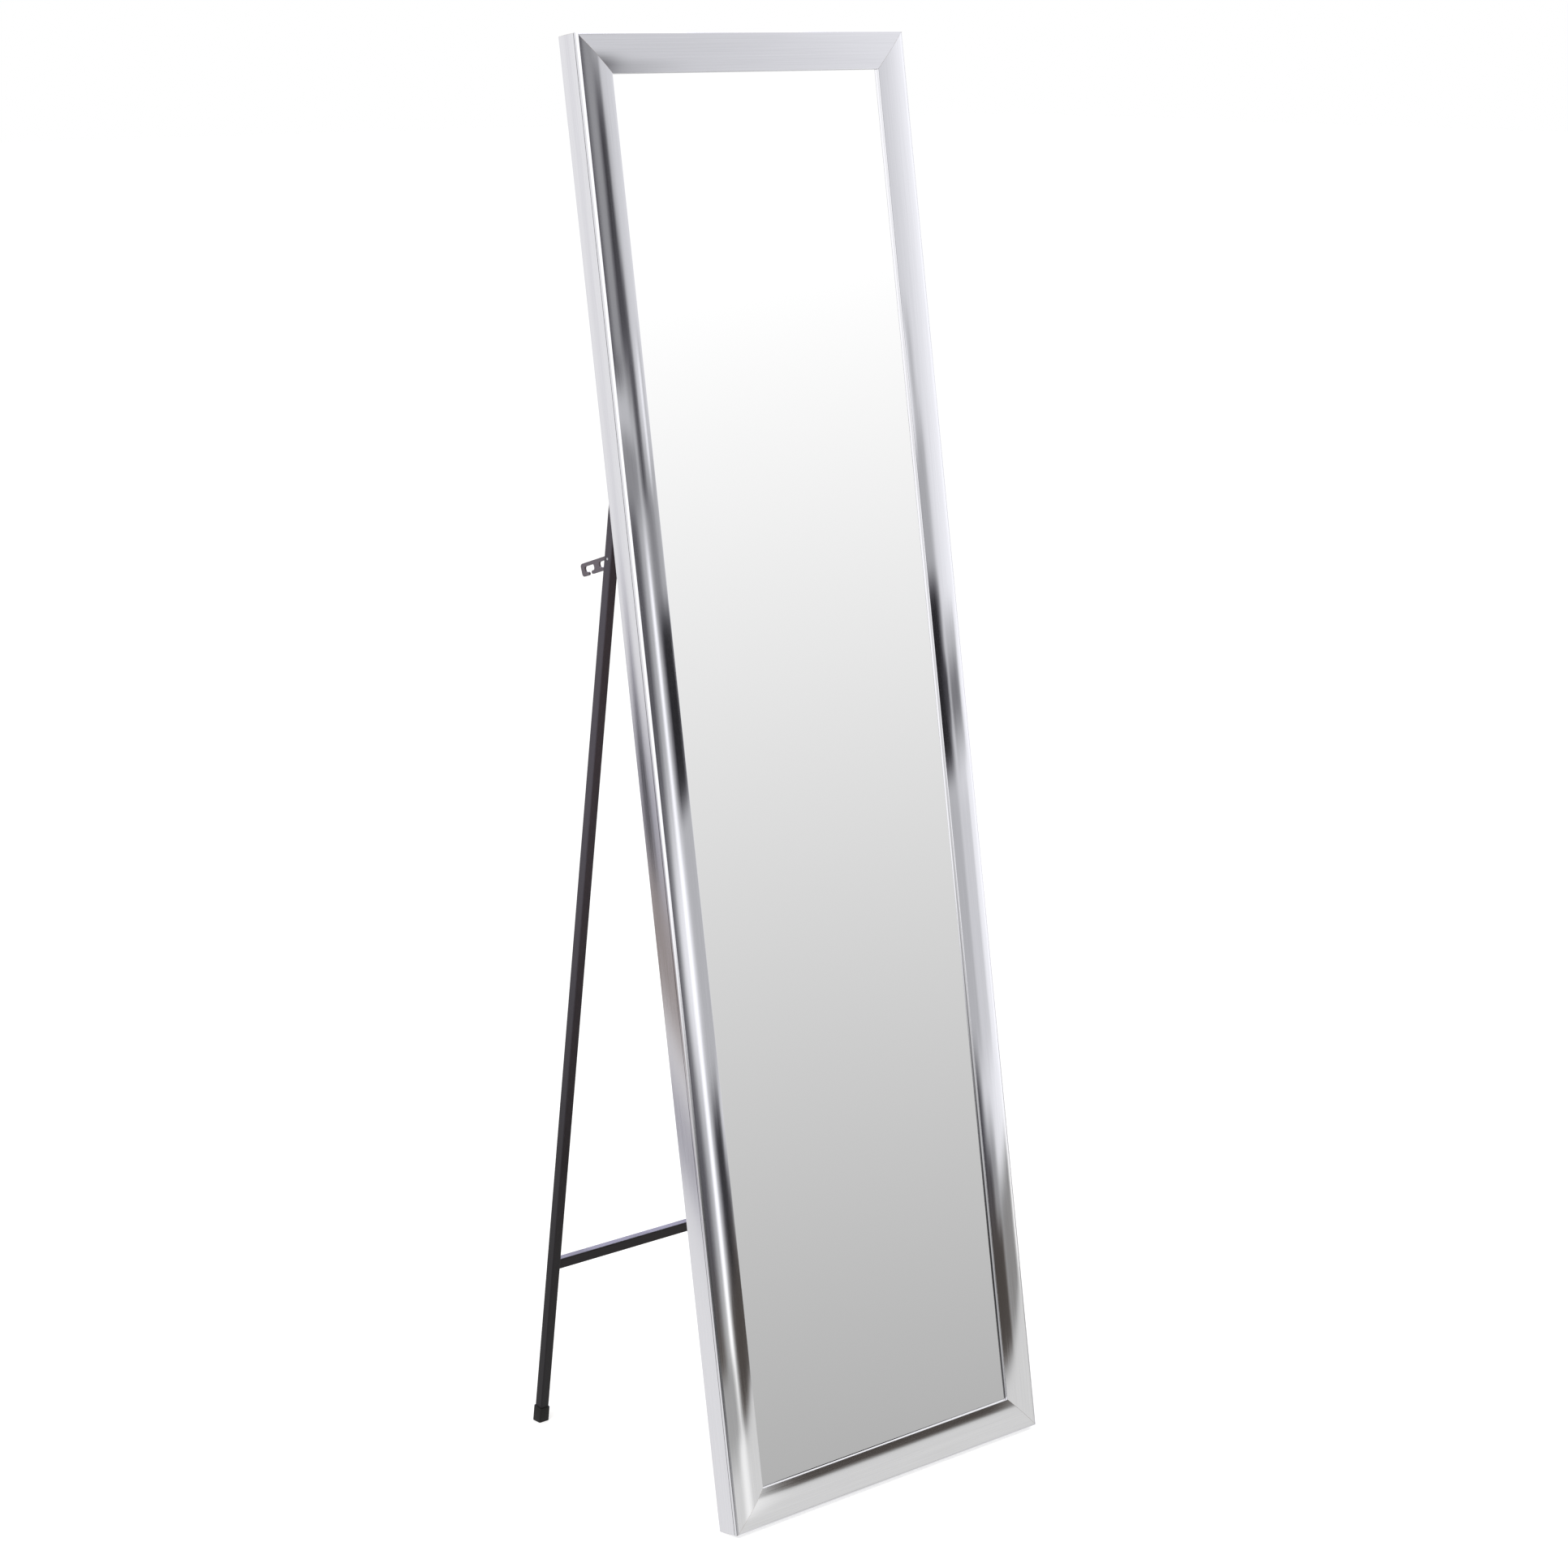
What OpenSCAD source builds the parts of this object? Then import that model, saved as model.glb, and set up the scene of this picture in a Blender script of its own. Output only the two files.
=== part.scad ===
// Leaning floor mirror on a folding back stand.
// The mirror is drawn upright, with its back-bottom edge at the origin's height, then
// leaned back as it stands on the floor. X runs across, +Y to the back, +Z up.

/* [Mirror] */
// Width across the frame
mirror_w = 400; // [300:10:600]
// Height of the frame along the glass
mirror_h = 1400; // [1250:10:1800]
// How far the mirror leans back from upright
lean_deg = 8.9; // [6:0.1:12]

/* [Frame moulding] */
// Width of a rail across its face
rail_w = 37; // [34:0.5:60]
// Depth of a rail's side, behind its outer bead
rail_d = 24.6; // [20:0.2:34]
// Radius of the bead round the outer edge
bead_r = 2.2; // [1.6:0.1:3]
// Width of the groove inside the bead
groove_w = 1.2; // [0.6:0.1:2]
// Rise of the crowned face above the bead
crown_h = 1.3; // [0.6:0.1:2.5]
// Radius of the edge beside the glass
edge_r = 0.8; // [0.4:0.1:1.5]
// Width of the quirk between the side and the bead
quirk_w = 0.8; // [0.4:0.1:1.2]
// Depth of the quirk between the side and the bead
quirk_depth = 0.4; // [0.2:0.1:0.8]
// Step from the rail's inner edge down to the glass
lip_d = 3; // [2:0.1:5]
// Width of the ledge that the glass lies against
rabbet_w = 8; // [6:0.5:12]

/* [Glass and back] */
// Thickness of the mirror glass
glass_t = 4; // [3:0.5:6]
// Thickness of the card sheet behind the glass
card_t = 2; // [1:0.5:4]
// Thickness of the hardboard back
board_t = 3; // [2:0.5:5]
// Gap round the sheets in the ledge
sheet_gap = 1; // [0.5:0.25:2]

/* [Framing points] */
// Length of a framing point
point_len = 15; // [12:1:20]
// Width of a framing point
point_w = 8; // [6:0.5:12]
// Thickness of a framing point
point_t = 0.6; // [0.4:0.1:1]
// Length driven into the rail
point_bite = 5; // [3:0.5:8]
// Framing points on each side rail
points_side = 4; // [2:1:8]
// Framing points on the top and the bottom rail
points_end = 2; // [1:1:4]
// Distance of the outermost points from the frame's corners
point_margin = 110; // [90:5:140]

/* [Corner plates] */
// Length of a corner plate's arm
corner_arm = 60; // [50:1:80]
// Width of a corner plate's arm
corner_w = 14; // [10:1:18]
// Thickness of a corner plate
corner_t = 1.5; // [1:0.25:3]
// Distance from the outer edge of the frame to the plate
corner_inset = 7.5; // [5:0.5:10]
// Distance from a plate's corner to the first screw of each arm
corner_screw_1 = 28; // [25:1:34]
// Distance from an arm's end to its last screw
corner_screw_2 = 7; // [5:0.5:9]

/* [Screws] */
// Radius of a wood screw's shank
screw_r = 1.5; // [1.2:0.1:2]
// Length of a wood screw under its head
screw_len = 14; // [10:1:18]
// Radius of a screw's head
screw_head_r = 2.9; // [2.5:0.1:3.5]
// Thickness of a screw's head
screw_head_t = 1.8; // [1.2:0.1:2.5]
// Length of a screw's point
screw_tip = 4; // [2:0.5:6]
// Radial room round a screw
screw_fit = 0.05; // [0.02:0.01:0.2]

/* [Stand] */
// Angle between the mirror and the stand
open_deg = 17.3; // [14:0.1:22]
// Height of the stand's hinge along the mirror
hinge_up = 1046.7; // [950:0.1:1100]
// Distance of the hinge axis behind the frame
hinge_off = 10; // [9:0.1:14]
// Distance of a leg from the side of the frame
leg_inset = 28.1; // [27:0.1:34]
// Width of a leg's square tube
leg_w = 10; // [9:0.5:12]
// Wall of the steel tubes
tube_wall = 1; // [0.8:0.1:1.5]
// Corner radius of the steel tubes
tube_r = 1.2; // [1.1:0.1:2]
// Length of tube above the hinge
leg_head = 9; // [7:0.5:10]
// Distance from the hinge to the middle of the crossbar
bar_down = 864.6; // [800:0.1:920]
// Height of the crossbar
bar_h = 11; // [8:0.5:16]
// Depth of the crossbar
bar_d = 8; // [7:0.5:10]

/* [Plugs and foot caps] */
// Thickness of a plug's lid
plug_lid = 1.5; // [1:0.1:2]
// Length of a plug inside its tube
plug_len = 4; // [3:0.5:5]
// Room between a plug or cap and its tube
push_fit = 0.05; // [0.02:0.01:0.15]
// Wall of a foot cap outside the tube
cap_wall = 1; // [0.8:0.1:2]
// Height of a foot cap along the leg
cap_h = 17; // [14:0.5:25]
// Thickness of a foot cap under the tube
cap_floor = 4; // [3:0.5:6]

/* [Hinge] */
// Thickness of the bracket steel
bracket_t = 1.5; // [1:0.1:2]
// Length of a hinge bracket along the rail
bracket_len = 32; // [26:1:40]
// Distance from the side of the frame to a bracket
bracket_inset = 6; // [4:0.5:8]
// Distance from the side of the frame to a bracket's screws
bracket_screw_inset = 14; // [12:0.5:16]
// Distance between a hinge bracket's two screws
hinge_screw_gap = 20; // [16:1:24]
// Radius of a hinge bracket's rounded ears
ear_r = 8; // [7:0.5:10]
// Radius of a pivot bolt's shank
bolt_r = 2.5; // [2:0.1:3]
// Radius of a pivot bolt's head
bolt_head_r = 4.6; // [4:0.1:6]
// Thickness of a pivot bolt's head
bolt_head_t = 2.8; // [2:0.1:4]
// Width across the flats of a lock nut
nut_af = 8; // [7:0.5:10]
// Thickness of a lock nut
nut_t = 4.5; // [3:0.1:6]
// Length of bolt beyond its nut
bolt_spare = 1.5; // [0.5:0.1:3]
// Thickness of a nylon washer
washer_t = 0.5; // [0.3:0.1:1]
// Radius of a nylon washer
washer_r = 5; // [4.5:0.1:6]
// Radial running room of a pivot
pivot_fit = 0.05; // [0.02:0.01:0.1]

/* [Stay] */
// Angle that a stay drops below square to the mirror
stay_drop = 9.2; // [7:0.1:11]
// Distance from the hinge down the leg to the pin
pin_down = 125.9; // [110:0.1:140]
// Distance of a stay's pivot behind the frame
stay_off = 8.4; // [8:0.1:11]
// Height of a stay's plate
stay_h = 12.5; // [11:0.1:13]
// Thickness of a stay's plate
stay_t = 2; // [1.5:0.1:3]
// Gap between a leg and its stay
stay_gap = 0.7; // [0.5:0.1:1]
// Number of slots in a stay
slot_count = 3; // [2:1:3]
// Distance between the slots
slot_pitch = 23.2; // [22:0.1:26]
// Length of a slot
slot_len = 15; // [13:0.5:16]
// Height of a slot
slot_h = 5.6; // [5.2:0.1:6]
// Thickness of the lips under a slot
slot_lip = 3.4; // [3:0.1:3.6]
// Width of a slot's mouth
slot_mouth = 4.2; // [4:0.1:4.6]
// Radius of a slot's corners
slot_r = 2.2; // [1.5:0.1:2.4]
// Length of plate beyond the last slot
stay_end = 5.4; // [4:0.1:8]
// Radius of the corners at a stay's free end
stay_end_r = 3; // [2:0.1:4]
// Radius of the pin on a leg
pin_r = 1.25; // [1:0.05:1.3]
// Radius of the pin's collar and head
pin_head_r = 2.6; // [2.3:0.1:3]
// Thickness of the pin's head
pin_head_t = 1.2; // [0.8:0.1:2]
// Room between a pin and the top of its slot
pin_room = 0.2; // [0.1:0.05:0.4]
// How far behind the slot's mouth the pin stands
pin_back = 2.8; // [2.7:0.05:2.9]
// Radius of a stay's rivet
rivet_r = 2; // [1.5:0.1:2.5]
// Radius of the rivet's countersunk head
rivet_head_r = 3.2; // [2.8:0.1:3.6]
// Depth of the rivet's countersunk head
rivet_head_t = 1.2; // [0.8:0.1:1.4]
// Thickness of the rivet's closed head
rivet_tail_t = 1; // [0.6:0.1:1.5]
// Side room of a stay and its pin
side_fit = 0.2; // [0.1:0.05:0.3]
// Length of a stay bracket along the rail
stay_bracket_len = 22; // [20:1:26]
// Distance between a stay bracket's two screws
stay_screw_gap = 12; // [10:1:14]
// Radius of a stay bracket's rounded tab
tab_r = 6; // [5:0.5:7]

/* [Hidden] */
$fn = 48;
// Facets of the rail's wide crown, whose radius is large
crown_fn = 720;
// Overshoot that keeps cut faces from lying on one another
eps = 0.05;

silver_foil = [0.82, 0.82, 0.84];
mirror_tint = [0.86, 0.88, 0.90];
kraft_card = [0.72, 0.58, 0.40];
hardboard_brown = [0.45, 0.31, 0.19];
bright_zinc = [0.70, 0.71, 0.73];
black_enamel = [0.10, 0.10, 0.11];
black_plastic = [0.06, 0.06, 0.06];
white_nylon = [0.88, 0.88, 0.84];

// Levels of the frame, as depths behind the front edge of the rail's side
half_w = mirror_w / 2;
face_y = -bead_r;
glass_y = face_y + lip_d;
card_y = glass_y + glass_t;
board_y = card_y + card_t;
board_back = board_y + board_t;
crown_from = bead_r + groove_w;
crown_to = rail_w - edge_r;
crown_half = (crown_to - crown_from) / 2;
crown_r = (crown_half * crown_half + crown_h * crown_h) / (2 * crown_h);
rail_back_w = rail_w - rabbet_w;
sheet_w = mirror_w - 2 * (rail_back_w + sheet_gap);
sheet_h = mirror_h - 2 * (rail_back_w + sheet_gap);
corner_spots = [corner_screw_1, corner_arm - corner_screw_2];

// The stand: the legs' middle line, and the length from the hinge down to the floor
leg_x = half_w - leg_inset - leg_w / 2;
leg_inner_x = leg_x - leg_w / 2;
hinge_y = rail_d + hinge_off;
floor_deg = open_deg - lean_deg;
hinge_height = hinge_up * cos(lean_deg) - hinge_off * sin(lean_deg);
leg_reach = hinge_height / cos(floor_deg);
cap_half = leg_w / 2 + cap_wall;
tube_foot = leg_reach - cap_floor - cap_half * tan(floor_deg);
bore_r = tube_r / 4;

// The hinge brackets: an ear on each side of a leg, with a washer between
ear_outer_x = leg_x + leg_w / 2 + washer_t;
ear_inner_x = leg_inner_x - washer_t - bracket_t;
bracket_outer_x = half_w - bracket_inset;
bracket_screw_x = half_w - bracket_screw_inset;

// The stays: the pin stands on a leg's middle line, and the pivot follows from it
stay_outer_x = leg_inner_x - stay_gap;
stay_inner_x = stay_outer_x - stay_t;
tab_x = stay_inner_x - side_fit - bracket_t;
pin_y = hinge_y + pin_down * sin(open_deg);
pin_z = hinge_up - pin_down * cos(open_deg);
pin_lift = slot_h / 2 - pin_r - pin_room;
pivot_y = rail_d + stay_off;
pin_reach = (pin_y - pivot_y - pin_lift * sin(stay_drop)) / cos(stay_drop);
pivot_z = pin_z + pin_reach * sin(stay_drop) - pin_lift * cos(stay_drop);
slot_1 = pin_reach - pin_back;
stay_len = slot_1 + (slot_count - 1) * slot_pitch + slot_len / 2 + stay_end;

// The object's front and back limits, so that it stands with its middle over the origin
front_y = bead_r * sin(lean_deg) - bead_r;
foot_y = hinge_y * cos(lean_deg) + hinge_up * sin(lean_deg) + hinge_height * tan(floor_deg);
back_y = foot_y + cap_half / cos(floor_deg);

// ---- Placing ----

// Leans the upright mirror back, and stands it on the floor
module leaned() {
  translate([0, -(front_y + back_y) / 2, rail_d * sin(lean_deg)])
    rotate([-lean_deg, 0, 0])
      children();
}

// Everything at the side is drawn on the right, and mirrored for the left
module on_right() leaned() children();
module on_left() leaned() mirror([1, 0, 0]) children();

// The hinge axis is the origin and the leg runs down -Z
module in_leg_line() {
  translate([leg_x, hinge_y, hinge_up])
    rotate([open_deg, 0, 0])
      children();
}

// The stay's pivot is the origin and the stay runs along +Y
module in_stay_line() {
  translate([0, pivot_y, pivot_z])
    rotate([-stay_drop, 0, 0])
      children();
}

// Extrudes a side view, drawn in depth and height, from x_from to x_to
module side_view(x_from, x_to) {
  translate([x_from, 0, 0])
    rotate([90, 0, 90])
      linear_extrude(x_to - x_from)
        children();
}

// A round bar along X from x_from to x_to
module cross_rod(r, x_from, x_to) {
  translate([x_from, 0, 0])
    rotate([0, 90, 0])
      cylinder(r = r, h = x_to - x_from);
}

// ---- Sections ----

// A rectangle with round corners, centred
module round_rect(w, d, r) {
  square([w - 2 * r, d], center = true);
  square([w, d - 2 * r], center = true);
  for (sx = [-1, 1], sy = [-1, 1])
    translate([sx * (w / 2 - r), sy * (d / 2 - r)])
      circle(r);
}

module tube_section(w, d) {
  difference() {
    round_rect(w, d, tube_r);
    round_rect(w - 2 * tube_wall, d - 2 * tube_wall, bore_r);
  }
}

// The moulding: x runs in from the outer edge, y runs back
module rail_section() {
  difference() {
    union() {
      square([rail_w, rail_d]);
      translate([bead_r, 0])
        circle(bead_r);
      translate([bead_r, face_y])
        square([rail_w - bead_r - edge_r, bead_r]);
      translate([rail_w - edge_r, face_y + edge_r])
        circle(edge_r);
      translate([rail_w - 2 * edge_r, face_y + edge_r])
        square([2 * edge_r, bead_r - edge_r + eps]);
      intersection() {
        translate([(crown_from + crown_to) / 2, face_y - crown_h + crown_r])
          circle(crown_r, $fn = crown_fn);
        translate([crown_from, face_y - 2 * crown_h])
          square([crown_to - crown_from, 2 * crown_h + edge_r]);
      }
    }
    translate([bead_r + groove_w / 2, face_y])
      circle(groove_w / 2);
    translate([-eps, 0])
      square([quirk_depth + eps, quirk_w]);
    translate([rail_back_w, glass_y])
      square([rabbet_w + eps, rail_d]);
  }
}

// ---- Frame ----

// Region of the frame's front that a rail along the bottom fills, with its two mitres
module end_region() {
  rotate([90, 0, 0])
    linear_extrude(4 * rail_d, center = true)
      polygon([[-half_w - rail_w, -rail_w], [half_w + rail_w, -rail_w],
               [half_w - rail_w - eps, rail_w + eps], [-half_w + rail_w + eps, rail_w + eps]]);
}

// Region of the frame's front that the right-hand rail fills
module side_region() {
  rotate([90, 0, 0])
    linear_extrude(4 * rail_d, center = true)
      polygon([[half_w + rail_w, -rail_w], [half_w + rail_w, mirror_h + rail_w],
               [half_w - rail_w - eps, mirror_h - rail_w - eps],
               [half_w - rail_w - eps, rail_w + eps]]);
}

module end_rail() {
  intersection() {
    rotate([0, -90, 0])
      linear_extrude(mirror_w, center = true)
        rail_section();
    end_region();
  }
}

module side_rail() {
  intersection() {
    translate([half_w, 0, 0])
      mirror([1, 0, 0])
        linear_extrude(mirror_h)
          rail_section();
    side_region();
  }
}

// Turns what is drawn at the bottom rail over to the top rail
module at_top() {
  translate([0, 0, mirror_h])
    mirror([0, 0, 1])
      children();
}

module on_all_corners() {
  for (sx = [0, 1], sz = [0, 1])
    translate([0, 0, sz * mirror_h])
      mirror([0, 0, sz])
        mirror([sx, 0, 0])
          children();
}

module on_both_sides() {
  for (sx = [0, 1])
    mirror([sx, 0, 0])
      children();
}

// Pilot holes and framing point slots, cut from whichever rail they meet
module rail_cuts() {
  corner_screw_spots() screw_hole();
  hinge_screw_spots() screw_hole();
  stay_screw_spots() screw_hole();
  point_spots() framing_point_slot();
}

module frame_rail_top() {
  color(silver_foil) leaned() difference() {
    at_top() end_rail();
    rail_cuts();
  }
}

module frame_rail_bottom() {
  color(silver_foil) leaned() difference() {
    end_rail();
    rail_cuts();
  }
}

module frame_rail_left() {
  color(silver_foil) leaned() difference() {
    mirror([1, 0, 0]) side_rail();
    rail_cuts();
  }
}

module frame_rail_right() {
  color(silver_foil) leaned() difference() {
    side_rail();
    rail_cuts();
  }
}

// ---- Glass and back ----

module sheet(from_y, t) {
  translate([-sheet_w / 2, from_y, (mirror_h - sheet_h) / 2])
    cube([sheet_w, t, sheet_h]);
}

module mirror_glass() {
  color(mirror_tint) leaned() sheet(glass_y, glass_t);
}

module card_sheet() {
  color(kraft_card) leaned() sheet(card_y, card_t);
}

module back_board() {
  color(hardboard_brown) leaned() sheet(board_y, board_t);
}

// ---- Framing points ----

// One point on the right-hand rail's ledge: its nose lies over the hardboard
module framing_point() {
  nose = point_w / 4;
  translate([0, board_back + point_t, 0])
    rotate([90, 0, 0])
      linear_extrude(point_t)
        polygon([[point_bite, -point_w / 2], [point_bite, point_w / 2],
                 [point_bite - point_len + nose, point_w / 2],
                 [point_bite - point_len, point_w / 2 - nose],
                 [point_bite - point_len, nose - point_w / 2],
                 [point_bite - point_len + nose, -point_w / 2]]);
}

module framing_point_slot() {
  translate([-eps, board_back, -point_w / 2])
    cube([point_bite + eps, point_t, point_w]);
}

// Even places from -reach to reach
function spread(count, reach) =
  count == 1 ? [0] : [for (i = [0 : count - 1]) -reach + 2 * reach * i / (count - 1)];

module point_spots() {
  wall_x = half_w - rail_back_w;
  wall_z = mirror_h / 2 - rail_back_w;
  translate([0, 0, mirror_h / 2]) {
    for (z = spread(points_side, mirror_h / 2 - point_margin), sx = [0, 1])
      mirror([sx, 0, 0])
        translate([wall_x, 0, z])
          children();
    for (x = spread(points_end, half_w - point_margin), turn = [-90, 90])
      rotate([0, turn, 0])
        translate([wall_z, 0, x])
          children();
  }
}

module framing_points() {
  color(bright_zinc) leaned() point_spots() framing_point();
}

// ---- Screws ----

// A pan-head wood screw driven towards the front, its head's seat at the origin
module wood_screw() {
  rotate([90, 0, 0]) {
    translate([0, 0, -screw_head_t])
      cylinder(r1 = screw_head_r * 0.7, r2 = screw_head_r, h = screw_head_t);
    cylinder(r = screw_r, h = screw_len - screw_tip);
    translate([0, 0, screw_len - screw_tip])
      cylinder(r1 = screw_r, r2 = screw_r / 5, h = screw_tip);
  }
}

module screw_hole() {
  rotate([90, 0, 0])
    translate([0, 0, -eps])
      cylinder(r = screw_r + screw_fit, h = screw_len + screw_fit + eps);
}

// ---- Corner plates ----

// Places of the plates' screws, in from each plate's corner
module corner_screw_spots() {
  on_all_corners()
    translate([half_w - corner_inset, rail_d + corner_t, corner_inset])
      for (along = corner_spots) {
        translate([-along, 0, corner_w / 2])
          children();
        translate([-corner_w / 2, 0, along])
          children();
      }
}

module corner_plate_shape() {
  arm = corner_arm - corner_w / 2;
  square([arm, corner_w]);
  square([corner_w, arm]);
  translate([arm, corner_w / 2])
    circle(corner_w / 2);
  translate([corner_w / 2, arm])
    circle(corner_w / 2);
}

module corner_plate() {
  translate([half_w - corner_inset, rail_d + corner_t, corner_inset])
    mirror([1, 0, 0])
      rotate([90, 0, 0])
        linear_extrude(corner_t)
          difference() {
            corner_plate_shape();
            for (along = corner_spots) {
              translate([along, corner_w / 2])
                circle(screw_r + screw_fit);
              translate([corner_w / 2, along])
                circle(screw_r + screw_fit);
            }
          }
}

module corner_plate_top_left() {
  color(bright_zinc) on_left() at_top() corner_plate();
}

module corner_plate_top_right() {
  color(bright_zinc) on_right() at_top() corner_plate();
}

module corner_plate_bottom_left() {
  color(bright_zinc) on_left() corner_plate();
}

module corner_plate_bottom_right() {
  color(bright_zinc) on_right() corner_plate();
}

module corner_screws() {
  color(bright_zinc) leaned() corner_screw_spots() wood_screw();
}

// ---- Hinge brackets ----

module hinge_screw_spots() {
  on_both_sides()
    for (sz = [-1, 1])
      translate([bracket_screw_x, rail_d + bracket_t, hinge_up + sz * hinge_screw_gap / 2])
        children();
}

module hinge_ear(x_from) {
  side_view(x_from, x_from + bracket_t)
    difference() {
      union() {
        translate([hinge_y, hinge_up])
          circle(ear_r);
        translate([rail_d + bracket_t - eps, hinge_up - ear_r])
          square([hinge_off - bracket_t + eps, 2 * ear_r]);
      }
      translate([hinge_y, hinge_up])
        circle(bolt_r + pivot_fit);
    }
}

module hinge_bracket() {
  difference() {
    translate([ear_inner_x, rail_d, hinge_up - bracket_len / 2])
      cube([bracket_outer_x - ear_inner_x, bracket_t, bracket_len]);
    hinge_screw_spots() screw_hole();
  }
  hinge_ear(ear_inner_x);
  hinge_ear(ear_outer_x);
}

module hinge_bracket_left() {
  color(black_enamel) on_left() hinge_bracket();
}

module hinge_bracket_right() {
  color(black_enamel) on_right() hinge_bracket();
}

module hinge_screws() {
  color(bright_zinc) leaned() hinge_screw_spots() wood_screw();
}

// ---- Pivot bolts, nuts and washers ----

module at_hinge() {
  translate([0, hinge_y, hinge_up])
    children();
}

module pivot_bolt() {
  head_x = ear_outer_x + bracket_t;
  at_hinge() {
    cross_rod(bolt_r, ear_inner_x - nut_t - bolt_spare, head_x + eps);
    cross_rod(bolt_head_r, head_x, head_x + bolt_head_t);
  }
}

module lock_nut() {
  at_hinge()
    difference() {
      translate([ear_inner_x - nut_t, 0, 0])
        rotate([0, 90, 0])
          cylinder(r = nut_af / 2 / cos(30), h = nut_t, $fn = 6);
      cross_rod(bolt_r + pivot_fit, ear_inner_x - nut_t - eps, ear_inner_x + eps);
    }
}

module nylon_washer(x_from) {
  at_hinge()
    difference() {
      cross_rod(washer_r, x_from, x_from + washer_t);
      cross_rod(bolt_r + pivot_fit, x_from - eps, x_from + washer_t + eps);
    }
}

module pivot_bolt_left() {
  color(bright_zinc) on_left() pivot_bolt();
}

module pivot_bolt_right() {
  color(bright_zinc) on_right() pivot_bolt();
}

module lock_nut_left() {
  color(bright_zinc) on_left() lock_nut();
}

module lock_nut_right() {
  color(bright_zinc) on_right() lock_nut();
}

module nylon_washers() {
  color(white_nylon) leaned() on_both_sides() {
    nylon_washer(leg_inner_x - washer_t);
    nylon_washer(leg_x + leg_w / 2);
  }
}

// ---- Stand ----

module stand_leg() {
  in_leg_line()
    difference() {
      translate([0, 0, -tube_foot])
        linear_extrude(tube_foot + leg_head)
          tube_section(leg_w, leg_w);
      cross_rod(bolt_r + pivot_fit, -leg_w, leg_w);
      translate([0, 0, -pin_down])
        cross_rod(pin_r + push_fit, -leg_w, leg_w);
    }
}

module stand_leg_left() {
  color(black_enamel) on_left() stand_leg();
}

module stand_leg_right() {
  color(black_enamel) on_right() stand_leg();
}

module stand_crossbar() {
  color(black_enamel) leaned()
    translate([-leg_x, 0, 0])
      in_leg_line()
        translate([-leg_inner_x, 0, -bar_down])
          rotate([90, 0, 90])
            linear_extrude(2 * leg_inner_x)
              tube_section(bar_d, bar_h);
}

module leg_plug() {
  in_leg_line() {
    translate([0, 0, leg_head])
      linear_extrude(plug_lid)
        round_rect(leg_w, leg_w, tube_r);
    translate([0, 0, leg_head - plug_len])
      linear_extrude(plug_len + eps)
        round_rect(leg_w - 2 * (tube_wall + push_fit), leg_w - 2 * (tube_wall + push_fit), bore_r);
  }
}

module leg_plug_left() {
  color(black_plastic) on_left() leg_plug();
}

module leg_plug_right() {
  color(black_plastic) on_right() leg_plug();
}

module foot_cap() {
  in_leg_line()
    difference() {
      translate([0, 0, -leg_reach - cap_half])
        linear_extrude(cap_h + cap_half)
          round_rect(2 * cap_half, 2 * cap_half, tube_r + cap_wall);
      translate([0, 0, -tube_foot])
        linear_extrude(leg_reach)
          round_rect(leg_w + 2 * push_fit, leg_w + 2 * push_fit, tube_r + push_fit);
      translate([0, 0, -leg_reach])
        rotate([-floor_deg, 0, 0])
          translate([-leg_w, -leg_w, -leg_w])
            cube([2 * leg_w, 2 * leg_w, leg_w]);
    }
}

module foot_cap_left() {
  color(black_plastic) on_left() foot_cap();
}

module foot_cap_right() {
  color(black_plastic) on_right() foot_cap();
}

// ---- Stays ----

// The pin goes through the leg: a collar holds the stay off, and a head keeps it on
module stay_pin() {
  collar_t = stay_gap - side_fit;
  head_x = -leg_w / 2 - stay_gap - stay_t - side_fit;
  in_leg_line()
    translate([0, 0, -pin_down]) {
      cross_rod(pin_r, head_x - eps, leg_w / 2);
      cross_rod(pin_head_r, -leg_w / 2 - collar_t, -leg_w / 2);
      cross_rod(pin_head_r, head_x - pin_head_t, head_x);
    }
}

module stay_pin_left() {
  color(bright_zinc) on_left() stay_pin();
}

module stay_pin_right() {
  color(bright_zinc) on_right() stay_pin();
}

// A slot's opening and its mouth, centred on the slot
module slot_shape() {
  lip_r = slot_lip / 2;
  round_rect(slot_len, slot_h, slot_r);
  translate([-slot_mouth / 2 - lip_r, -slot_h / 2 - slot_lip - eps])
    square([slot_mouth + slot_lip, slot_lip + 2 * eps]);
}

// The round ends of the two lips beside a mouth
module lip_ends() {
  lip_r = slot_lip / 2;
  for (s = [-1, 1])
    translate([s * (slot_mouth / 2 + lip_r), -slot_h / 2 - lip_r])
      circle(lip_r);
}

module on_slots() {
  for (i = [0 : slot_count - 1])
    translate([slot_1 + i * slot_pitch, 0])
      children();
}

module stay_shape() {
  low = -slot_h / 2 - slot_lip;
  mid = low + stay_h / 2;
  difference() {
    union() {
      translate([0, mid])
        circle(stay_h / 2);
      translate([0, low])
        square([stay_len - stay_end_r, stay_h]);
      translate([stay_len - 2 * stay_end_r, low + stay_end_r])
        square([2 * stay_end_r, stay_h - 2 * stay_end_r]);
      for (y = [low + stay_end_r, low + stay_h - stay_end_r])
        translate([stay_len - stay_end_r, y])
          circle(stay_end_r);
    }
    on_slots() slot_shape();
  }
  on_slots() lip_ends();
}

module stay() {
  difference() {
    in_stay_line()
      side_view(stay_inner_x, stay_outer_x)
        stay_shape();
    in_stay_line() {
      cross_rod(rivet_r + pivot_fit, stay_inner_x - eps, stay_outer_x + eps);
      rivet_head(pivot_fit);
    }
  }
}

module stay_left() {
  color(black_enamel) on_left() stay();
}

module stay_right() {
  color(black_enamel) on_right() stay();
}

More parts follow.
